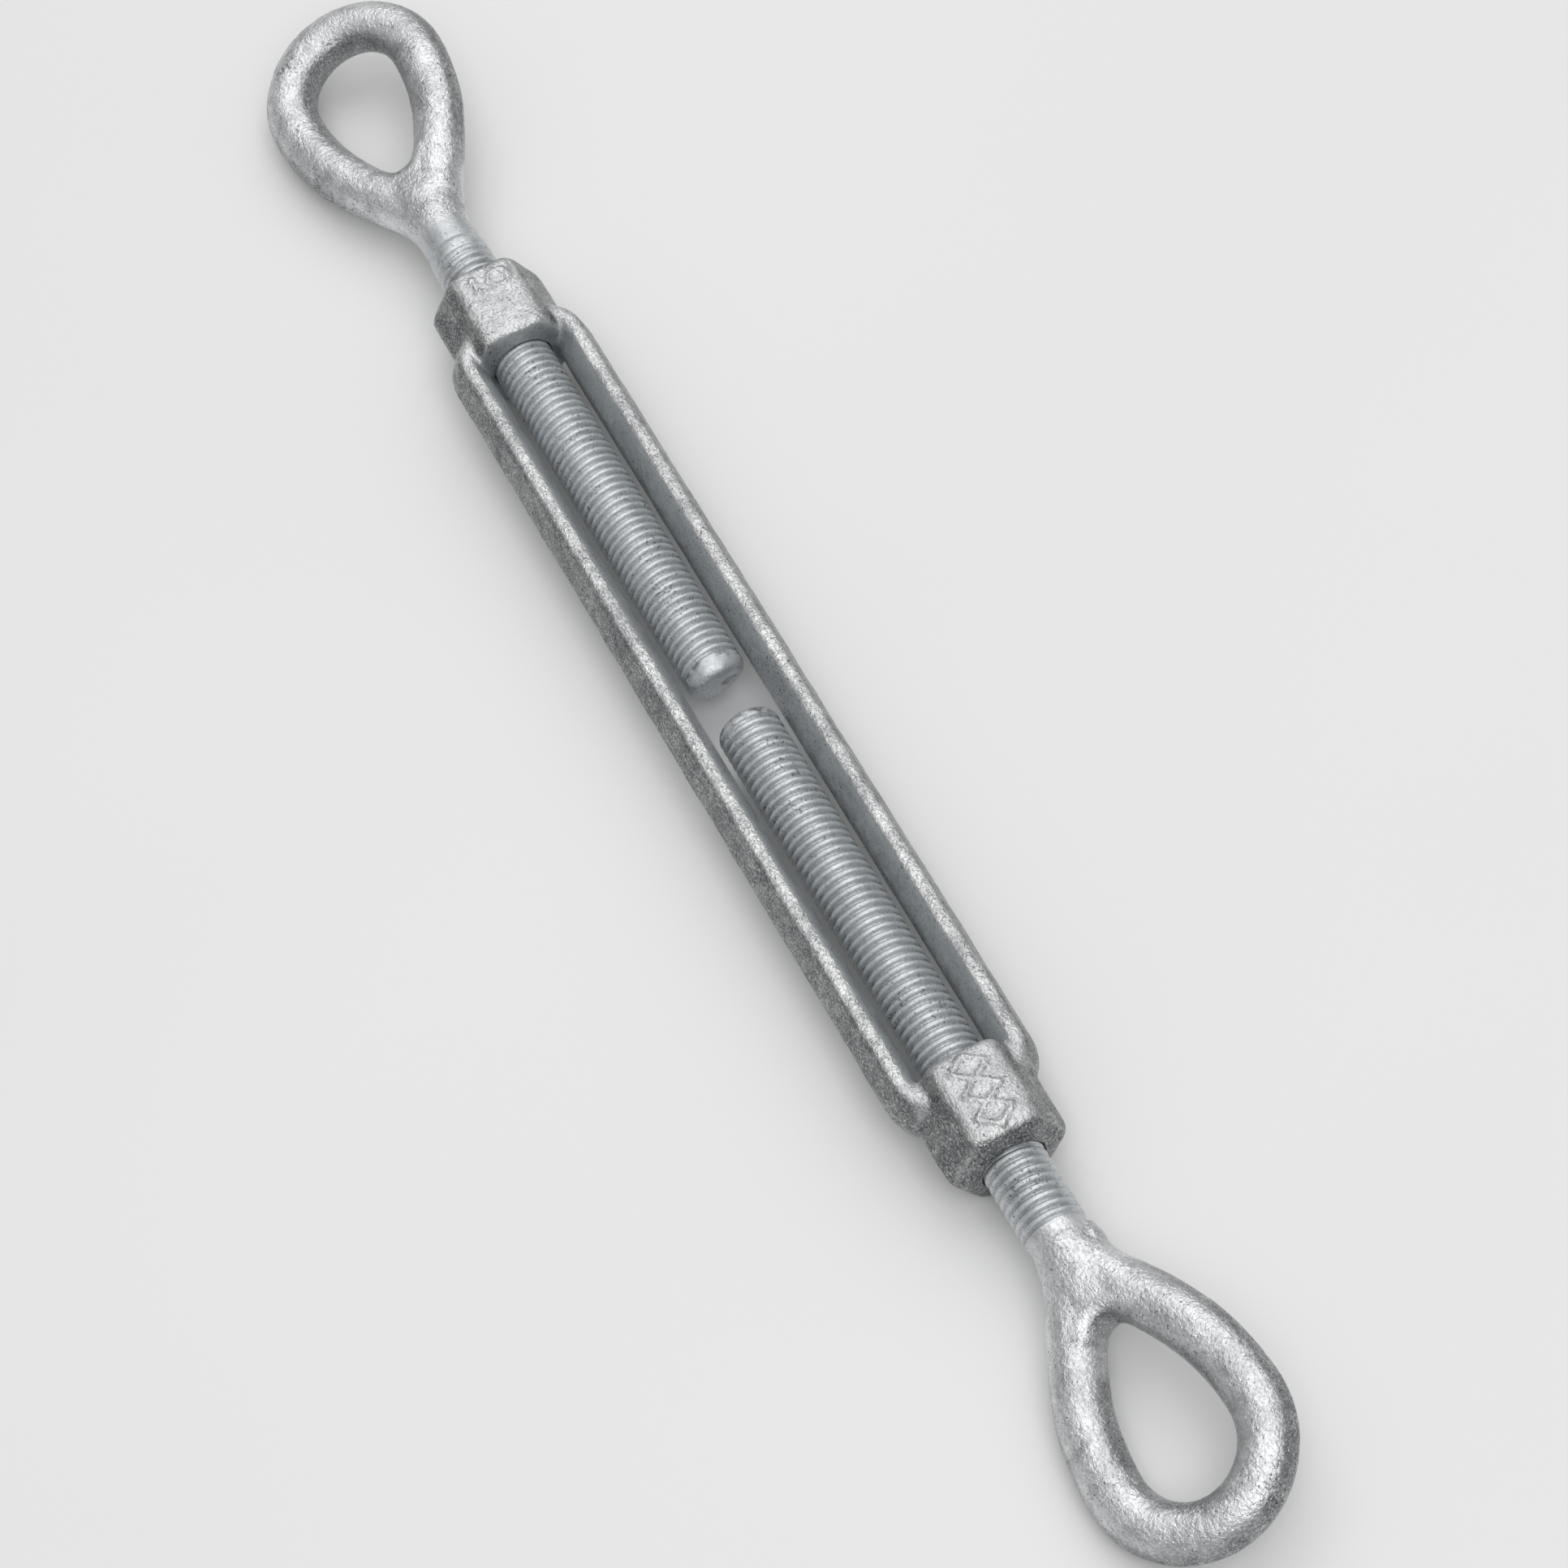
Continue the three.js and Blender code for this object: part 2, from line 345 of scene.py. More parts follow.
def boss_section(inset):
    """Boss section as points in Y and Z, drawn in by `inset` all round."""
    slant = math.atan2(BOSS_HALF_WIDTH - BOSS_FLAT_HALF_WIDTH, BOSS_HALF_HEIGHT)
    width = BOSS_HALF_WIDTH - inset / math.cos(slant)
    height = BOSS_HALF_HEIGHT - inset
    flat = BOSS_FLAT_HALF_WIDTH - inset * math.tan((math.pi / 2 - slant) / 2)
    corners = [
        (width, 0), (flat, height), (-flat, height),
        (-width, 0), (-flat, -height), (flat, -height),
    ]
    return rounded_outline(corners, [BOSS_CORNER_REACH] * len(corners))


def boss_part(end):
    """A boss as a loft, rounded at its outer end and eased at its inner one."""
    stations = [(SLOT_HALF, BOSS_SHOULDER), (SLOT_HALF + 0.4, 0.4 * BOSS_SHOULDER)]
    stations.append((SLOT_HALF + BOSS_SHOULDER, 0.0))
    steps = 7
    round_length = BARREL_HALF - BOSS_END_START
    for i in range(steps + 1):
        angle = 0.5 * math.pi * i / steps
        x = BOSS_END_START + round_length * math.sin(angle)
        stations.append((x, BOSS_END_DEPTH * (1 - math.cos(angle))))
    stations.append((BARREL_HALF + BOSS_CONE_RISE, BOSS_CONE_DEPTH))
    rings = []
    for x, inset in stations:
        section = boss_section(inset)
        ring = np.empty((len(section), 3))
        ring[:, 0] = x * end
        ring[:, 1:] = section
        rings.append(ring)
    return loft(rings)


def rein_section():
    """Side bar section: straight drafts that meet in a rounded crown."""
    upper = [(REIN_OUTER_CORNER, 0.0)]
    upper += [(out, REIN_TOP_HEIGHT) for out in REIN_TOP_CORNERS]
    upper.append((REIN_INNER_CORNER, 0.0))
    lower = [(out, -REIN_TOP_HEIGHT) for out in reversed(REIN_TOP_CORNERS)]
    reaches = [REIN_PARTING_REACH, REIN_TOP_REACH, REIN_TOP_REACH]
    return rounded_outline(upper + lower, reaches + reaches)


def rein_part(side):
    """One side bar with both ends turned in to the bosses."""
    bend_steps = 10
    bend = [REIN_BEND_SWEEP * i / bend_steps for i in range(1, bend_steps + 1)]
    stations = [(-1, angle) for angle in reversed(bend)]
    stations += [(0, x) for x in np.linspace(-REIN_BEND_START, REIN_BEND_START, 24)]
    stations += [(1, angle) for angle in bend]
    rings = []
    for end, value in stations:
        if end == 0:
            centre = (value, REIN_OFFSET)
            outward = (0.0, 1.0)
        else:
            centre = (
                end * (REIN_BEND_START + REIN_BEND_RADIUS * math.sin(value)),
                REIN_OFFSET - REIN_BEND_RADIUS * (1 - math.cos(value)),
            )
            outward = (end * math.sin(value), math.cos(value))
        ring = [
            (
                centre[0] + outward[0] * out,
                side * (centre[1] + outward[1] * out),
                up,
            )
            for out, up in rein_section()
        ]
        rings.append(np.array(ring))
    return loft(rings)


def cut_bore(obj):
    """Cuts the bolt's bore through both bosses."""
    steps = 96
    angles = 2 * np.pi * np.arange(steps) / steps
    rings = []
    for x in (-BARREL_HALF - 5, BARREL_HALF + 5):
        rings.append(
            np.stack(
                [np.full(steps, x), BORE_RADIUS * np.cos(angles),
                 BORE_RADIUS * np.sin(angles)], 1,
            )
        )
    tool = mesh_object("bore_tool", *loft(rings))
    graph = bmesh.new()
    graph.from_mesh(tool.data)
    bmesh.ops.recalc_face_normals(graph, faces=graph.faces)
    graph.to_mesh(tool.data)
    graph.free()
    cut = obj.modifiers.new("bore", "BOOLEAN")
    cut.operation = "DIFFERENCE"
    cut.solver = "EXACT"
    cut.object = tool
    applied(obj)
    mesh = tool.data
    bpy.data.objects.remove(tool)
    bpy.data.meshes.remove(mesh)
    return obj


def lozenge_line(u, v, half_long, half_wide):
    """Distance from the outline of a lozenge centred on u = v = 0."""
    slope = half_wide / half_long
    edge = np.abs(v) + slope * np.abs(u) - half_wide
    return np.abs(edge) / math.hypot(1.0, slope)


def forging_marks(points, normals):
    """Height of the plain raised marks on the upper wrench flats, in mm."""
    x, y, z = points.T
    facing = smooth_step(normals[:, 2], 0.75, 0.95) * (z > 0)
    height = np.zeros(len(points))
    # Boss at the left-hand end: three lozenges in a row along the axis.
    for along in LOZENGE_CENTRES:
        line = lozenge_line(
            x - along, y - LOZENGE_ACROSS, LOZENGE_HALF_LONG, LOZENGE_HALF_WIDE
        )
        height = np.maximum(height, 1 - smooth_step(line, 0.35, 0.8))
    # Boss at the right-hand end: a ring, and a bar along the axis beside it.
    ring = np.abs(np.hypot(x - FAR_MARK_ALONG, y - RING_ACROSS) - RING_RADIUS)
    height = np.maximum(height, 1 - smooth_step(ring, 0.3, 0.85))
    bar = np.maximum(
        np.abs(x - FAR_MARK_ALONG) - BAR_HALF_LONG, np.abs(y - BAR_ACROSS) - BAR_HALF_WIDE
    )
    height = np.maximum(height, 1 - smooth_step(bar, 0.0, 0.6))
    return MARK_HEIGHT * height * facing


def forging_skin(points, seed):
    """Uneven height of a forged and dipped surface, in mm."""
    skin = 0.10 * lattice_noise(points, 9.0, seed)
    skin += 0.06 * lattice_noise(points, 3.4, seed + 2)
    # Crinkles: thin valleys where a finer noise changes sign.
    crinkle = np.minimum(np.abs(lattice_noise(points, 2.1, seed + 4)), 0.3) / 0.3
    return skin + 0.04 * crinkle + 0.03 * lattice_noise(points, 1.25, seed + 6)


def barrel_zones(points, normals):
    """How dark and how calm the zinc is at each point of the barrel; the darkening of the
    outward sides and boss ends is partly darker zinc and partly painted shade.
    """
    along = np.abs(points[:, 0])
    outward = normals[:, 1] * np.sign(points[:, 1])
    endward = normals[:, 0] * np.sign(points[:, 0])
    # Painted shade, partly darker zinc: the bars' outward sides and the bosses' outer ends
    # are darkened.
    dull_and_shade = smooth_step(outward, 0.45, 0.88)
    dull_and_shade = np.maximum(dull_and_shade, smooth_step(endward, 0.35, 0.8) * (along > SLOT_HALF + 8))
    in_slot = 1 - smooth_step(along, SLOT_HALF, SLOT_HALF + 2)
    calm = smooth_step(-outward, 0.35, 0.75) * in_slot
    calm = np.maximum(calm, smooth_step(-endward, 0.55, 0.85) * (along > SLOT_HALF - 6))
    on_flat = smooth_step(np.abs(normals[:, 2]), 0.85, 0.97) * (along > SLOT_HALF)
    return dull_and_shade, np.maximum(calm, 0.35 * on_flat)


def make_barrel(material):
    parts = [boss_part(1), boss_part(-1), rein_part(1), rein_part(-1)]
    barrel = remeshed("barrel_forging", parts, BARREL_VOXEL)
    mesh = barrel.data
    points = relax(mesh, read_points(mesh), 5, 0.5, 0.51)
    # Forging radii: wide where a bar runs into a boss and round the outer ends.
    x = np.abs(points[:, 0])
    corner = smooth_step(x, SLOT_HALF - 9, SLOT_HALF - 2)
    corner = corner * (1 - 0.85 * smooth_step(x, SLOT_HALF + 8, SLOT_HALF + 12))
    points = relax(mesh, points, 9, 0.5, weight=corner)
    boss_end = 0.7 * smooth_step(x, BARREL_HALF - 8, BARREL_HALF - 3)
    points = relax(mesh, points, 10, 0.5, weight=boss_end)
    points = relax(mesh, points, 2, 0.4)
    write_points(mesh, points)
    normals = read_normals(mesh)
    _, calm = barrel_zones(points, normals)
    bump = forging_skin(points, BARREL_SEED) * (1 - 0.7 * calm)
    parting = (1 - smooth_step(np.abs(points[:, 2]), 0.2, 0.8)) * (normals[:, 2] ** 2 < 0.2)
    bump += PARTING_HEIGHT * parting * (1 - calm)
    bump += forging_marks(points, normals)
    write_points(mesh, points + normals * bump[:, None])
    cut_bore(barrel)
    mesh = barrel.data
    dull_and_shade, calm = barrel_zones(read_points(mesh), read_normals(mesh))
    # The first attribute is the darkening, partly darker zinc and partly painted shade.
    paint(mesh, "dull_and_shade", dull_and_shade)
    paint(mesh, "calm", calm)
    turn = Matrix.Rotation(BARREL_ROLL, 4, "X")
    return place(barrel, "barrel", "galvanised_forging", material, turn)


# --------------------------------------------------------------- eye bolts


def eye_centreline(leg_steps=34, round_steps=30):
    """Points and outward directions along the eye, from leg to leg."""
    start = np.array((0.0, EYE_LEG_OFFSET))
    end = np.array((EYE_LENGTH, EYE_HALF_WIDTH))
    pull_a = start + np.array(EYE_LEG_NECK_PULL)
    pull_b = end - np.array((EYE_LEG_END_PULL, 0.0))
    t = np.linspace(0, 1, leg_steps)[:, None]
    leg = (1 - t) ** 3 * start + 3 * (1 - t) ** 2 * t * pull_a
    leg = leg + 3 * (1 - t) * t * t * pull_b + t ** 3 * end
    angle = np.linspace(0.5 * np.pi, -0.5 * np.pi, round_steps)[1:-1]
    bow = np.stack(
        [EYE_LENGTH + EYE_END_STRETCH * EYE_HALF_WIDTH * np.cos(angle),
         EYE_HALF_WIDTH * np.sin(angle)], 1,
    )
    path = np.concatenate([leg, bow, leg[::-1] * (1, -1)])
    along = np.gradient(path, axis=0)
    along /= np.linalg.norm(along, axis=1)[:, None]
    return path, np.stack([-along[:, 1], along[:, 0]], 1)


def eye_part():
    path, outward = eye_centreline()
    count = 28
    angle = 2 * np.pi * np.arange(count) / count
    rings = []
    for (x, y), (nx, ny) in zip(path, outward):
        across = EYE_ROD_RADIUS * np.cos(angle)
        rings.append(
            np.stack(
                [x + nx * across, y + ny * across,
                 EYE_ROD_HALF_THICKNESS * np.sin(angle)], 1,
            )
        )
    return loft(rings)


def neck_part():
    """Round neck that widens in the plane of the eye."""
    count = 48
    angle = 2 * np.pi * np.arange(count) / count
    rings = [
        np.stack(
            [np.full(count, x), (NECK_RADIUS + wide) * np.cos(angle),
             (NECK_RADIUS + thick) * np.sin(angle)], 1,
        )
        for x, wide, thick in NECK_STATIONS
    ]
    return loft(rings)


def throat_part():
    """Bent web that fills the corner between the legs of the eye."""
    count = 28
    around = 2 * np.pi * np.arange(count) / count
    rings = []
    for angle in np.pi + np.linspace(-THROAT_SWEEP, THROAT_SWEEP, 21):
        reach = THROAT_RADIUS + THROAT_WEB_HALF_WIDTH * (1 + np.cos(around))
        rings.append(
            np.stack(
                [THROAT_CENTRE + reach * math.cos(angle), reach * math.sin(angle),
                 EYE_ROD_HALF_THICKNESS * np.sin(around)], 1,
            )
        )
    return loft(rings)


def lump_part(centre, reach):
    """A small closed ellipsoid."""
    count = 20
    angle = 2 * np.pi * np.arange(count) / count
    rings = []
    for turn in np.linspace(0.08, np.pi - 0.08, 12):
        rings.append(
            np.stack(
                [np.full(count, centre[0] - reach[0] * math.cos(turn)),
                 centre[1] + reach[1] * math.sin(turn) * np.cos(angle),
                 centre[2] + reach[2] * math.sin(turn) * np.sin(angle)], 1,
            )
        )
    return loft(rings)


def ridge_height(turns):
    """Rounded thread form: 0 in the groove and 1 on the crest, once a turn."""
    wave = np.abs(2 * (turns - np.floor(turns)) - 1)
    return 0.5 - 0.5 * np.cos(np.pi * np.clip((wave - 0.1) / 0.62, 0, 1))


def shank_rings(bolt, join_x, sides=66, per_turn=12):
    """Rings of the threaded shank, from its tip to join_x."""
    angles = 2 * np.pi * np.arange(sides) / sides
    tip, taper_end, thread_start, thread_end = (
        bolt[key] - NECK_START for key in ("tip", "taper_end", "thread_start", "thread_end")
    )
    count = int((join_x - tip) * per_turn / THREAD_PITCH)
    stations = np.linspace(tip, join_x, count + 1)
    opening = 1 - np.clip((stations - tip) / (taper_end - tip), 0, 1)
    dome = np.sqrt(1 - opening ** 2)
    neck = smooth_step(stations, thread_end - 1.0, thread_end + 0.6)
    body = CREST_RADIUS + (NECK_RADIUS - CREST_RADIUS) * neck
    body = bolt["face_radius"] + (body - bolt["face_radius"]) * dome
    fade = smooth_step(stations, thread_start - 0.4, thread_start + 2.0)
    fade *= 1 - smooth_step(stations, thread_end - bolt["run_out"], thread_end)
    rings = []
    for x, radius, cut, lean in zip(stations, body, fade, opening):
        turns = x / THREAD_PITCH - bolt["hand"] * angles / (2 * np.pi)
        radii = radius - THREAD_DEPTH * cut * (1 - ridge_height(turns))
        ring = np.stack(
            [np.full(sides, x), radii * np.cos(angles), radii * np.sin(angles)], 1
        )
        ring[:, 0] -= bolt["shear"] * lean * ring[:, 2]
        rings.append(ring)
    return rings


def end_face(bolt, rim):
    """Rings that close the tip, from the middle of its domed face to the rim."""
    tip = bolt["tip"] - NECK_START
    rings = []
    for share in (0.04, 0.2, 0.36, 0.52, 0.68, 0.82, 0.93, 0.98):
        ring = rim.copy()
        ring[:, 1:] *= share
        ring[:, 0] = tip - bolt["shear"] * ring[:, 2] - END_FACE_DOME * (1 - share ** 2)
        rings.append(ring)
    return rings


def tip_marks(bolt, points):
    """How far the tip's dimple, nub and torn rim stand out along the shank."""
    tip = bolt["tip"] - NECK_START
    near = 1 - smooth_step(points[:, 0], tip + 0.6, tip + 2.5)
    out = TORN_HEIGHT * near * lattice_noise(points, 1.6, TORN_SEED)
    marks = (
        ("dimple", DIMPLE_HEIGHT, DIMPLE_SPREAD),
        ("nub", NUB_HEIGHT, NUB_SPREAD),
    )
    for key, height, spread in marks:
        if bolt[key]:
            away = np.hypot(points[:, 1] - bolt[key][0], points[:, 2] - bolt[key][1])
            out += height * near * np.exp(-((away / spread) ** 2))
    return out


def open_at(obj, x):
    """The object's mesh as a graph, cut away below x and left open there."""
    graph = bmesh.new()
    graph.from_mesh(obj.data)
    bmesh.ops.bisect_plane(
        graph, geom=graph.verts[:] + graph.edges[:] + graph.faces[:],
        plane_co=(x, 0, 0), plane_no=(1, 0, 0), clear_inner=True,
    )
    return graph


def bolt_zones(bolt, points, normals):
    """How dark and how calm the zinc is at each point of an eye bolt, with painted shade on
    the eye's sides and in the thread's grooves.
    """
    from_bow = points[:, :2] - (EYE_LENGTH - 6.0, 0.0)
    reach = np.maximum(np.linalg.norm(from_bow, axis=1), 1e-6)
    inward = -np.sum(normals[:, :2] * from_bow, axis=1) / reach
    in_eye = smooth_step(points[:, 0], 4, 10)
    # Painted shade on the inner and outer sides of the eye.
    dull_and_shade = 0.75 * smooth_step(inward, 0.35, 0.85) * in_eye
    dull_and_shade = np.maximum(dull_and_shade, 0.9 * smooth_step(-inward, 0.55, 0.95) * in_eye)
    calm = 1 - smooth_step(points[:, 0], -12.0, -7.0)
    # Painted shade in the thread's grooves.
    below_crest = CREST_RADIUS - np.hypot(points[:, 1], points[:, 2])
    groove = smooth_step(below_crest, 0.4, 0.95) * (points[:, 0] < -8.0)
    groove *= points[:, 0] > bolt["taper_end"] - NECK_START
    dull_and_shade = np.maximum(dull_and_shade, 0.42 * groove)
    # Dross gathers in flecks where the tip was cut, and the tip's dimple is darker.
    from_cut = (points[:, 0] - bolt["thread_start"] + NECK_START) / 0.9
    flecks = smooth_step(lattice_noise(points, 1.2, DROSS_SEED), 0.1, 0.4)
    dull_and_shade = np.maximum(dull_and_shade, 0.9 * flecks * np.exp(-from_cut ** 2))
    if bolt["dimple"]:
        away = np.hypot(points[:, 1] - bolt["dimple"][0], points[:, 2] - bolt["dimple"][1])
        on_face = points[:, 0] < bolt["tip"] + 2.5 - NECK_START
        dull_and_shade = np.maximum(dull_and_shade, np.exp(-(away / 1.1) ** 2) * on_face)
    return dull_and_shade, calm


def make_bolt(name, bolt, material):
    parts = [eye_part(), neck_part(), throat_part()]
    if bolt["ear"]:
        parts += [lump_part(centre, reach) for centre, reach in EAR_LUMPS]
    forging = remeshed(name + "_forging", parts, EYE_VOXEL)
    mesh = forging.data
    points = relax(mesh, read_points(mesh), 5, 0.5, 0.51)
    crotch = 1 - smooth_step(np.abs(points[:, 0] - 10), 8, 14)
    points = relax(mesh, points, 16, 0.5, weight=crotch)
    points = relax(mesh, points, 2, 0.4, weight=smooth_step(points[:, 0], -9, -7))
    write_points(mesh, points)
    normals = read_normals(mesh)
    bump = forging_skin(points, FORGING_SEED) * smooth_step(points[:, 0], -9, -5)
    # Flash line left by the dies, round the outside and the inside of the eye.
    flash = 1 - smooth_step(np.abs(points[:, 2]), 0.2, 0.9)
    flash *= 1 - smooth_step(np.abs(normals[:, 2]), 0.1, 0.3)
    bump += FLASH_HEIGHT * flash * smooth_step(points[:, 0], 0.0, 6.0)
    points = points + normals * bump[:, None]
    # The round neck keeps its turned radius where the shank joins it.
    turned = 1 - smooth_step(points[:, 0], -9.0, -7.6)
    radial = np.hypot(points[:, 1], points[:, 2])
    wanted = radial + (NECK_RADIUS - radial) * turned
    points[:, 1:] *= (wanted / np.maximum(radial, 1e-6))[:, None]
    write_points(mesh, points)

    graph = open_at(forging, SHANK_JOIN)
    shank = shank_rings(bolt, SHANK_JOIN - SHANK_JOIN_GAP)
    rings = end_face(bolt, shank[0]) + shank
    rows = [[graph.verts.new(p) for p in ring] for ring in rings]
    count = len(rows[0])
    for a, b in zip(rows[:-1], rows[1:]):
        for j in range(count):
            k = (j + 1) % count
            graph.faces.new((a[j], a[k], b[k], b[j]))
    graph.faces.new(list(reversed(rows[0])))
    rim = [e for e in graph.edges if e.is_boundary]
    bmesh.ops.bridge_loops(graph, edges=rim)
    bmesh.ops.recalc_face_normals(graph, faces=graph.faces)
    graph.to_mesh(mesh)
    graph.free()
    mesh.update()

    points = read_points(mesh)
    normals = read_normals(mesh)
    on_shank = 1 - smooth_step(points[:, 0], SHANK_JOIN - 3, SHANK_JOIN)
    bump = 0.035 * lattice_noise(points, 1.3, SHANK_FINE_SEED)
    bump += 0.03 * lattice_noise(points, 4.5, SHANK_WAVE_SEED)
    points = points + normals * (bump * on_shank)[:, None]
    points[:, 0] -= tip_marks(bolt, points)
    write_points(mesh, points)
    dull_and_shade, calm = bolt_zones(bolt, points, read_normals(mesh))
    # The first attribute is the darkening: painted shade on the eye's sides and in the
    # grooves, and flecks at the tip.
    paint(mesh, "dull_and_shade", dull_and_shade)
    paint(mesh, "calm", calm)

    end_turn = Matrix.Rotation(0 if bolt["end"] > 0 else math.pi, 4, "Z")
    turn = Matrix.Rotation(bolt["roll"], 4, "X") @ end_turn
    turn = turn @ Matrix.Translation((NECK_START, 0, 0))
    return place(forging, name, "galvanised_eye_bolt", material, turn)


# --------------------------------------------------------------- materials


class Nodes:
    """Short calls for building a material's node tree."""

    def __init__(self, name):
        self.material = bpy.data.materials.new(name)
        self.material.use_nodes = True
        self.tree = self.material.node_tree
        self.tree.nodes.clear()
        self.output = self.add("ShaderNodeOutputMaterial")
        self.shader = self.add("ShaderNodeBsdfPrincipled")
        self.link(self.shader.outputs["BSDF"], self.output.inputs["Surface"])
        self.place = self.add("ShaderNodeTexCoord").outputs["Object"]

    def add(self, kind, **settings):
        node = self.tree.nodes.new(kind)
        for key, value in settings.items():
            setattr(node, key, value)
        return node

    def link(self, out, into):
        self.tree.links.new(out, into)

    def noise(self, scale, detail=2.0, rough=0.5, distortion=0.0):
        node = self.add("ShaderNodeTexNoise")
        self.link(self.place, node.inputs["Vector"])
        node.inputs["Scale"].default_value = scale
        node.inputs["Detail"].default_value = detail
        node.inputs["Roughness"].default_value = rough
        node.inputs["Distortion"].default_value = distortion
        return node.outputs["Fac"]

    def cells(self, scale):
        node = self.add("ShaderNodeTexVoronoi", feature="SMOOTH_F1")
        self.link(self.place, node.inputs["Vector"])
        node.inputs["Scale"].default_value = scale
        return node.outputs["Distance"]

    def ramp(self, value, *stops):
        node = self.add("ShaderNodeValToRGB")
        self.link(value, node.inputs["Fac"])
        band = node.color_ramp
        while len(band.elements) < len(stops):
            band.elements.new(0.5)
        for element, (at, color) in zip(band.elements, stops):
            element.position = at
            if not isinstance(color, tuple):
                color = (color, color, color)
            element.color = (*color, 1.0)
        return node.outputs["Color"]

    def mix(self, kind, factor, a, b):
        node = self.add("ShaderNodeMix", data_type="RGBA", blend_type=kind)
        sockets = (node.inputs[0], node.inputs[6], node.inputs[7])
        for value, socket in zip((factor, a, b), sockets):
            if isinstance(value, bpy.types.NodeSocket):
                self.link(value, socket)
            elif isinstance(value, tuple):
                socket.default_value = (*value, 1.0)
            else:
                socket.default_value = value
        return node.outputs[2]

    def math(self, kind, a, b):
        node = self.add("ShaderNodeMath", operation=kind)
        for value, socket in zip((a, b), node.inputs):
            if isinstance(value, bpy.types.NodeSocket):
                self.link(value, socket)
            else:
                socket.default_value = value
        return node.outputs[0]

    def bump(self, height, distance, strength, normal=None):
        node = self.add("ShaderNodeBump")
        node.inputs["Distance"].default_value = distance
        self.link(height, node.inputs["Height"])
        self.link(strength, node.inputs["Strength"])
        if normal is not None:
            self.link(normal, node.inputs["Normal"])
        return node.outputs["Normal"]


def zinc(name, bright, dark, calm_tint, pebble):
    """Hot-dip zinc on a forging: pebbled, with bright and dark patches.

    One point value darkens the die-drafted sides, partly as darker zinc and
    partly as painted shade, and puts painted shade in the grooves; `calm` marks
    the smoother blue-grey parts, such as the thread and the inside of the slot.
    `pebble` is how rough the surface is to the touch.
    """
    n = Nodes(name)
    dull_and_shade = n.add("ShaderNodeAttribute", attribute_name="dull_and_shade").outputs["Fac"]
    calm = n.add("ShaderNodeAttribute", attribute_name="calm").outputs["Fac"]

    # Colour: patches, fine grains, sides darkened as darker zinc and painted shade, with
    # painted glints in them, dark flecks.
    color = n.ramp(n.noise(120, 6, 0.7, 0.6), (0.36, dark), (0.58, bright))
    color = n.mix("MIX", n.math("MULTIPLY", calm, 0.8), color, calm_tint)
    grains = n.noise(1700, 2, 0.6)
    color = n.mix("MULTIPLY", 0.3, color, n.ramp(grains, (0.36, 0.45), (0.58, 1.0)))
    uneven = n.ramp(n.noise(240, 3, 0.6), (0.3, 1.0), (0.7, 0.75))
    shade = n.math("MULTIPLY", dull_and_shade, uneven)
    # Painted glints: bright spots where the painted shade is lifted.
    painted_glints = n.ramp(n.noise(1900, 3, 0.65), (0.46, 1.0), (0.68, 0.2))
    shade = n.math("MULTIPLY", shade, painted_glints)
    # The darkening itself: a dark tint, partly darker zinc and partly painted shade.
    color = n.mix("MULTIPLY", shade, color, (0.16, 0.17, 0.175))
    crowding = n.math("MULTIPLY", n.noise(90, 3, 0.6), 0.5)
    flecks = n.math("ADD", n.noise(1500, 1, 0.5), crowding)
    color = n.mix("MULTIPLY", 0.75, color, n.ramp(flecks, (0.93, 1.0), (0.98, 0.25)))
    n.link(color, n.shader.inputs["Base Color"])
    n.shader.inputs["Metallic"].default_value = 0.92

    rough = n.ramp(n.noise(420, 3, 0.6), (0.35, 0.34), (0.65, 0.5))
    rough = n.math("SUBTRACT", rough, n.math("MULTIPLY", dull_and_shade, 0.1))
    n.link(n.math("ADD", rough, n.math("MULTIPLY", calm, 0.1)), n.shader.inputs["Roughness"])

    # Relief: fine wrinkles and pebbles, then a coarser unevenness.
    wrinkle = n.noise(1300, 2, 0.5, 0.8)
    surface = n.math("ADD", wrinkle, n.math("MULTIPLY", n.cells(700), 0.4))
    quiet = n.math("SUBTRACT", pebble, n.math("MULTIPLY", calm, 0.75 * pebble))
    normal = n.bump(surface, 0.0006, quiet)
    coarse = n.math("MULTIPLY", quiet, 0.3)
    normal = n.bump(n.noise(460, 2, 0.5), 0.0009, coarse, normal)
    n.link(normal, n.shader.inputs["Normal"])
    return n.material


# ------------------------------------------------------------------- scene


CAMERA_TURNS = (-8.71, 30.971, -58.527)
CAMERA_LENS = 110.77
CAMERA_PLACE = (0.5894, -0.14155, 0.92729)
FLOOR_HALF = 12.0


def make_camera():
    """Camera set by three turns: about X, then Y, then its own line of sight."""
    roll, tilt, turn = (math.radians(angle) for angle in CAMERA_TURNS)
    to_camera = (
        Matrix.Rotation(turn, 3, "Z")
        @ Matrix.Rotation(-tilt, 3, "Y")
        @ Matrix.Rotation(roll, 3, "X")
    )
    camera = bpy.data.cameras.new("camera")
    camera.sensor_width = 36.0
    camera.lens = CAMERA_LENS
    camera.clip_start = 0.05
    camera.clip_end = 20.0
    obj = bpy.data.objects.new("camera", camera)
    bpy.context.scene.collection.objects.link(obj)
    obj.rotation_mode = "QUATERNION"
    obj.rotation_quaternion = to_camera.transposed().to_quaternion()
    obj.location = CAMERA_PLACE
    bpy.context.scene.camera = obj


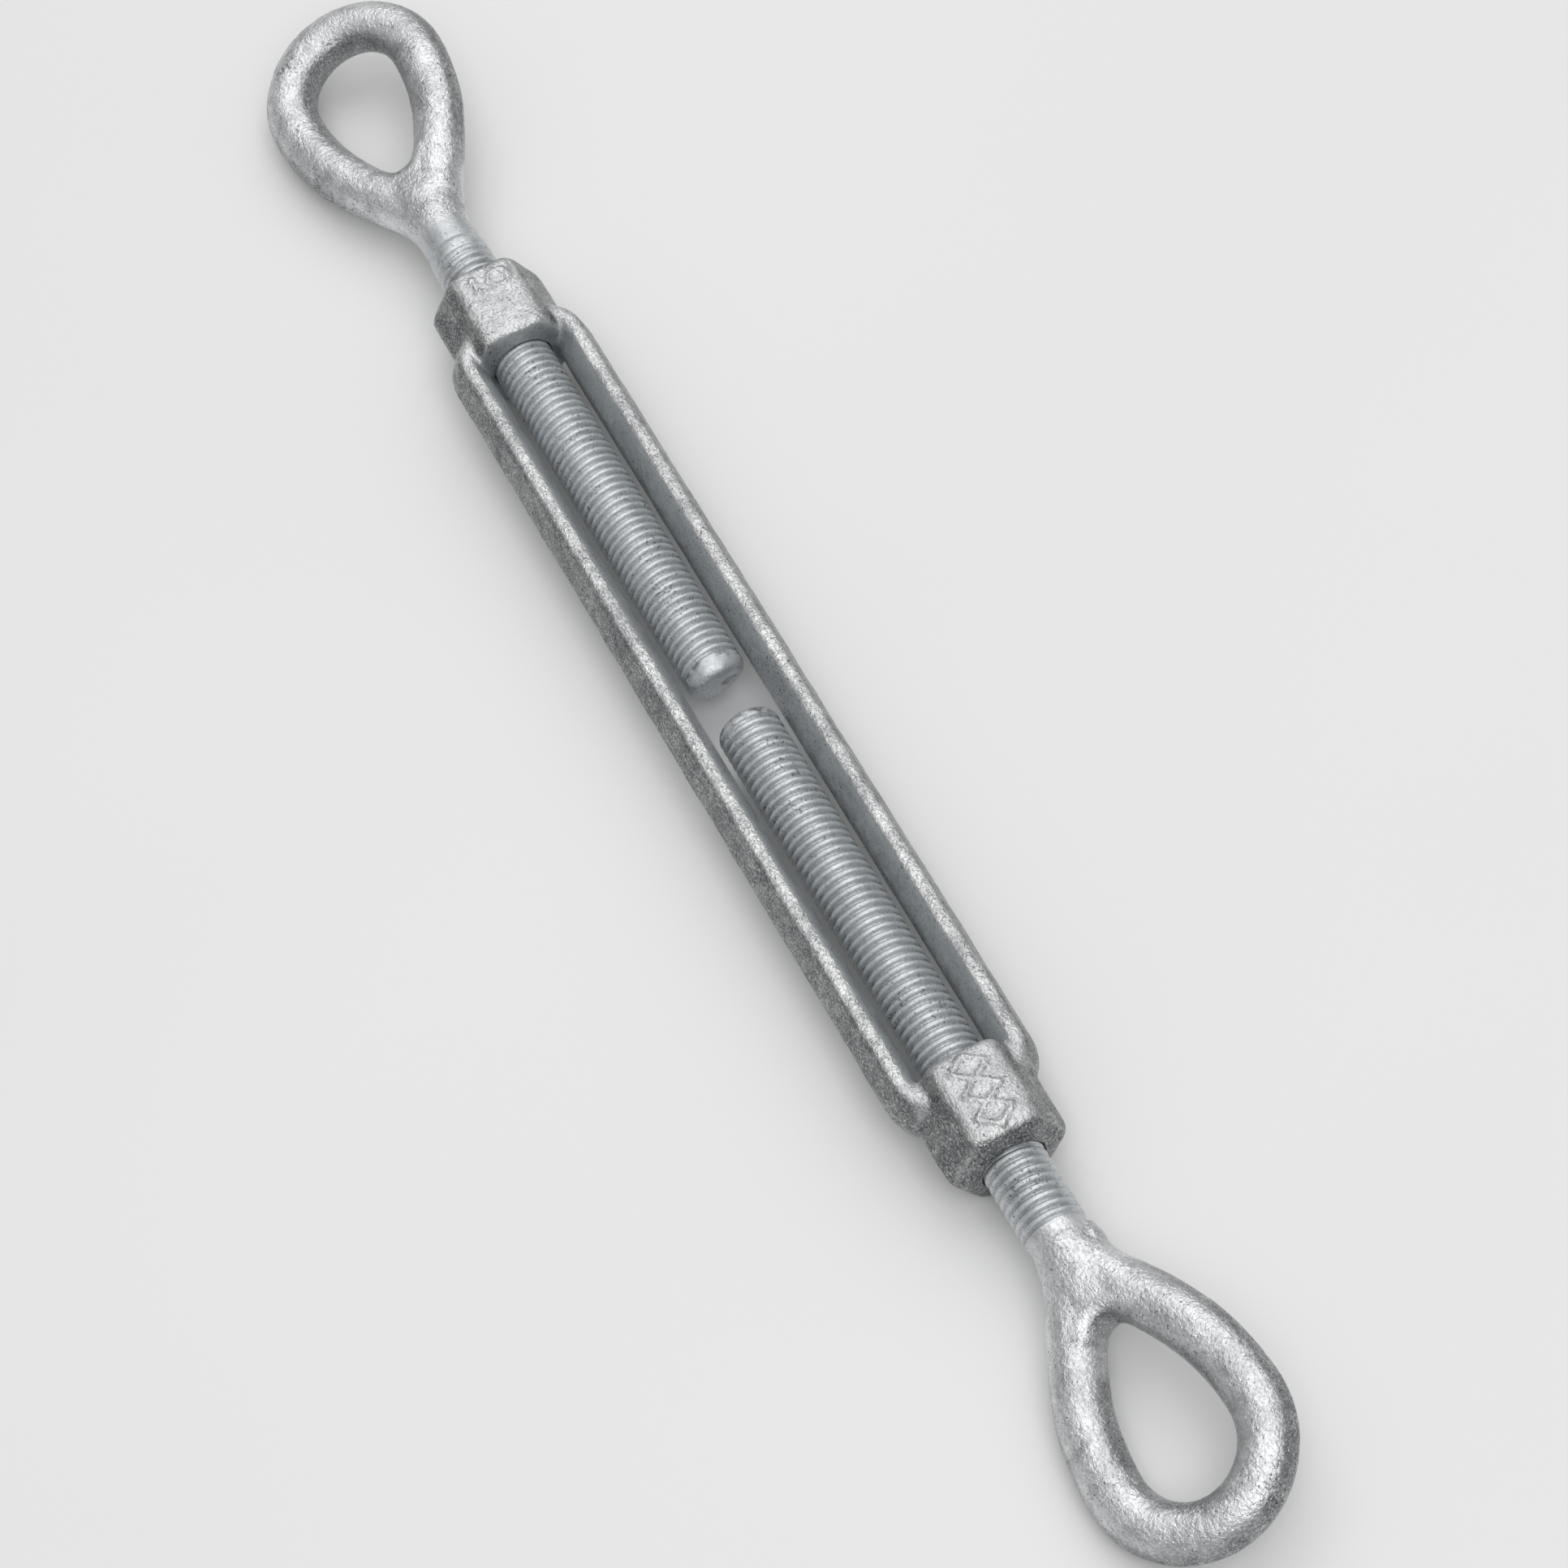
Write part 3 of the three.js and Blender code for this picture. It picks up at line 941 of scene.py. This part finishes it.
def make_floor(height):
    half = FLOOR_HALF
    corners = [(-half, -half), (half, -half), (half, half), (-half, half)]
    floor = mesh_object("floor", [(x, y, height) for x, y in corners], [(0, 1, 2, 3)])
    n = Nodes("pale_floor")
    tint = n.noise(4, 2, 0.5)
    n.link(n.ramp(tint, (0.3, 0.84), (0.7, 0.86)), n.shader.inputs["Base Color"])
    n.shader.inputs["Roughness"].default_value = 0.75
    floor.data.materials.append(n.material)


def make_area_light(name, size, power, place_at):
    """A square soft light that faces the middle of the turnbuckle."""
    light = bpy.data.lights.new(name, "AREA")
    light.shape = "RECTANGLE"
    light.size = size
    light.size_y = size
    light.energy = power
    obj = bpy.data.objects.new(name, light)
    obj.location = place_at
    obj.rotation_mode = "QUATERNION"
    obj.rotation_quaternion = (-Vector(place_at)).to_track_quat("-Z", "Y")
    bpy.context.scene.collection.objects.link(obj)


def make_world(horizon, zenith):
    """A room that is brighter overhead than at the sides."""
    world = bpy.data.worlds.new("studio")
    world.use_nodes = True
    tree = world.node_tree
    background = tree.nodes["Background"]
    place = tree.nodes.new("ShaderNodeTexCoord")
    height = tree.nodes.new("ShaderNodeSeparateXYZ")
    tree.links.new(place.outputs["Generated"], height.inputs["Vector"])
    band = tree.nodes.new("ShaderNodeValToRGB")
    tree.links.new(height.outputs["Z"], band.inputs["Fac"])
    for element, at, value in zip(band.color_ramp.elements, (0.2, 0.9), (horizon, zenith)):
        element.position = at
        element.color = (value, value, value, 1.0)
    tree.links.new(band.outputs["Color"], background.inputs["Color"])
    bpy.context.scene.world = world


make_camera()
forged_zinc = zinc(
    "forged_zinc", bright=(0.80, 0.81, 0.81), dark=(0.50, 0.51, 0.52),
    calm_tint=(0.50, 0.53, 0.55), pebble=0.75,
)
bolt_zinc = zinc(
    "bolt_zinc", bright=(0.86, 0.87, 0.88), dark=(0.58, 0.59, 0.60),
    calm_tint=(0.66, 0.69, 0.71), pebble=0.5,
)
make_barrel(forged_zinc)
for bolt_name, bolt_facts in BOLTS.items():
    make_bolt(bolt_name, bolt_facts, bolt_zinc)
LOW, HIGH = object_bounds()
make_floor(LOW.z)
make_world(0.12, 0.75)
make_area_light("top", 2.0, 13, (-0.95, 0.5, 1.6))
make_area_light("front", 1.1, 7, (0.85, -0.1, 1.45))
bpy.context.scene.view_settings.view_transform = "Standard"
